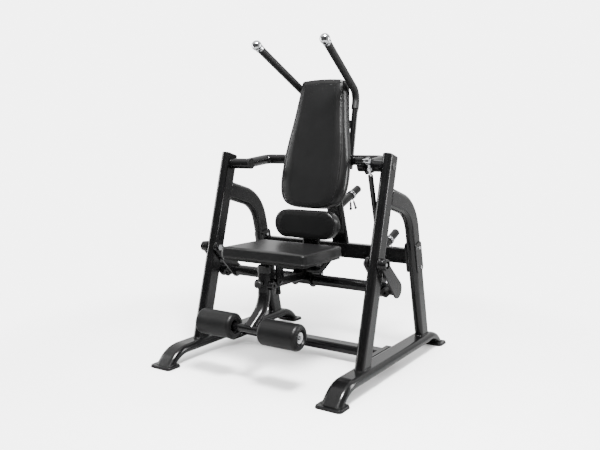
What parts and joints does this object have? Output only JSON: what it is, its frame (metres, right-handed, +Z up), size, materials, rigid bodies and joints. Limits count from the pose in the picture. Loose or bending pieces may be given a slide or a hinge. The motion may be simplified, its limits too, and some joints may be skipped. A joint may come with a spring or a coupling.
{
  "type": "abdominal crunch machine",
  "caption": "Plate-loaded abdominal crunch machine: coupled seat cradle and upper swing with handles, back pad, lumbar pad, leg rollers, weight horns and push rod.",
  "frame": {"origin": "on the floor, midway between the four feet", "axes": "+Z up, -Y the way the user faces, +X to the right as seen from the front"},
  "size_m": [1.248, 1.374, 1.8415],
  "materials": {
    "black_powder_coat": "satin powder coat",
    "black_rubber": "matte",
    "chrome": "polished",
    "spring_wire": "bright zinc",
    "black_plastic": "fine grain",
    "bush_plastic": "natural",
    "black_vinyl": "semi-gloss upholstery vinyl",
    "board_shell": "semi-gloss"
  },
  "bodies": {
    "frame": {"base_rail_left": "black_powder_coat", "base_rail_right": "black_powder_coat", "foot_plates": "black_powder_coat", "foot_rubbers": "black_rubber", "upright_left": "black_powder_coat", "upright_right": "black_powder_coat", "rear_leg_left": "black_powder_coat", "rear_leg_right": "black_powder_coat", "floor_crossbar": "black_powder_coat", "frame_joint_plates": "black_powder_coat", "rear_beam": "black_powder_coat", "frame_bolts": "chrome", "frame_end_caps": "black_plastic", "storage_horn_left": "black_powder_coat", "storage_horn_right": "black_powder_coat", "pivot_shafts": "chrome", "pivot_washers": "black_plastic", "rest_bumper": "black_rubber"},
    "upper_swing": {"yoke": "black_powder_coat", "pivot_housings": "black_powder_coat", "pivot_bushes": "bush_plastic", "mast": "black_powder_coat", "load_horn": "black_powder_coat", "swing_end_caps": "black_plastic", "handle_tube_left": "black_powder_coat", "handle_tube_right": "black_powder_coat", "handle_grips": "black_rubber", "handle_balls": "chrome", "swing_brackets": "black_powder_coat", "back_board": "board_shell", "back_pad": "black_vinyl", "upper_link_bolt": "chrome"},
    "cradle": {"cross_tube": "black_powder_coat", "cradle_plates": "black_powder_coat", "inner_arms": "black_powder_coat", "cradle_hubs": "black_powder_coat", "travel_stops": "black_rubber", "centre_beam": "black_powder_coat", "seat_support_tube": "black_powder_coat", "cradle_brackets": "black_powder_coat", "cradle_bolts": "chrome", "seat_board": "board_shell", "seat_pad": "black_vinyl", "lumbar_post": "black_powder_coat", "lumbar_board": "board_shell", "lumbar_pad": "black_vinyl", "lower_link_bolt": "chrome"},
    "push_link": {"push_rod": "black_powder_coat", "rod_ends": "chrome"},
    "leg_carriage": {"slide_tube": "black_powder_coat", "leg_arm": "black_powder_coat", "leg_arm_cap": "black_plastic", "roller_axle": "black_powder_coat", "axle_end_bolts": "chrome"},
    "roller_left_spin": {"roller_left": "black_vinyl"},
    "roller_right_spin": {"roller_right": "black_vinyl"},
    "clamp_knob": {"pull_knob": "black_plastic"},
    "load_collar": {"load_collar": "spring_wire"},
    "storage_collar_left": {"storage_collar_left": "spring_wire"},
    "storage_collar_right": {"storage_collar_right": "spring_wire"}
  },
  "joints": [
    {"name": "swing_pivot", "type": "hinge", "parent": "frame", "child": "upper_swing", "pos_m": [0, -0.047, 1.14], "axis": [1, 0, 0], "range_deg": [0, 30]},
    {"name": "cradle_pivot", "type": "hinge", "parent": "frame", "child": "cradle", "pos_m": [0, -0.205, 0.636], "axis": [1, 0, 0], "range_deg": [-17.3, 0]},
    {"name": "push_rod_pivot", "type": "hinge", "parent": "upper_swing", "child": "push_link", "pos_m": [0.48, -0.153, 1.169], "axis": [1, 0, 0], "range_deg": [-35.6, 0]},
    {"name": "leg_slide", "type": "slide", "parent": "cradle", "child": "leg_carriage", "axis": [0, -1, 0], "range_m": [0, 0.08]},
    {"name": "roller_left_axle", "type": "hinge", "parent": "leg_carriage", "child": "roller_left_spin", "pos_m": [-0.207, -0.566, 0.29], "axis": [1, 0, 0], "continuous": true},
    {"name": "roller_right_axle", "type": "hinge", "parent": "leg_carriage", "child": "roller_right_spin", "pos_m": [0.207, -0.566, 0.29], "axis": [1, 0, 0], "continuous": true},
    {"name": "clamp_knob_pull", "type": "slide", "parent": "cradle", "child": "clamp_knob", "axis": [0, 0, -1], "range_m": [0, 0.01], "stiffness_N_per_m": 600, "springref_m": -0.006},
    {"name": "load_collar_slide", "type": "slide", "parent": "upper_swing", "child": "load_collar", "axis": [0, 0.9304, 0.3665], "range_m": [-0.12, 0.15]},
    {"name": "storage_collar_left_slide", "type": "slide", "parent": "frame", "child": "storage_collar_left", "axis": [0, 0.9239, 0.3827], "range_m": [-0.09, 0.15]},
    {"name": "storage_collar_right_slide", "type": "slide", "parent": "frame", "child": "storage_collar_right", "axis": [0, 0.9239, 0.3827], "range_m": [-0.09, 0.15]}
  ],
  "couplings": [
    {"joint": "cradle_pivot", "follows": "swing_pivot", "ratio": -0.5747},
    {"joint": "push_rod_pivot", "follows": "swing_pivot", "ratio": -1.184}
  ]
}
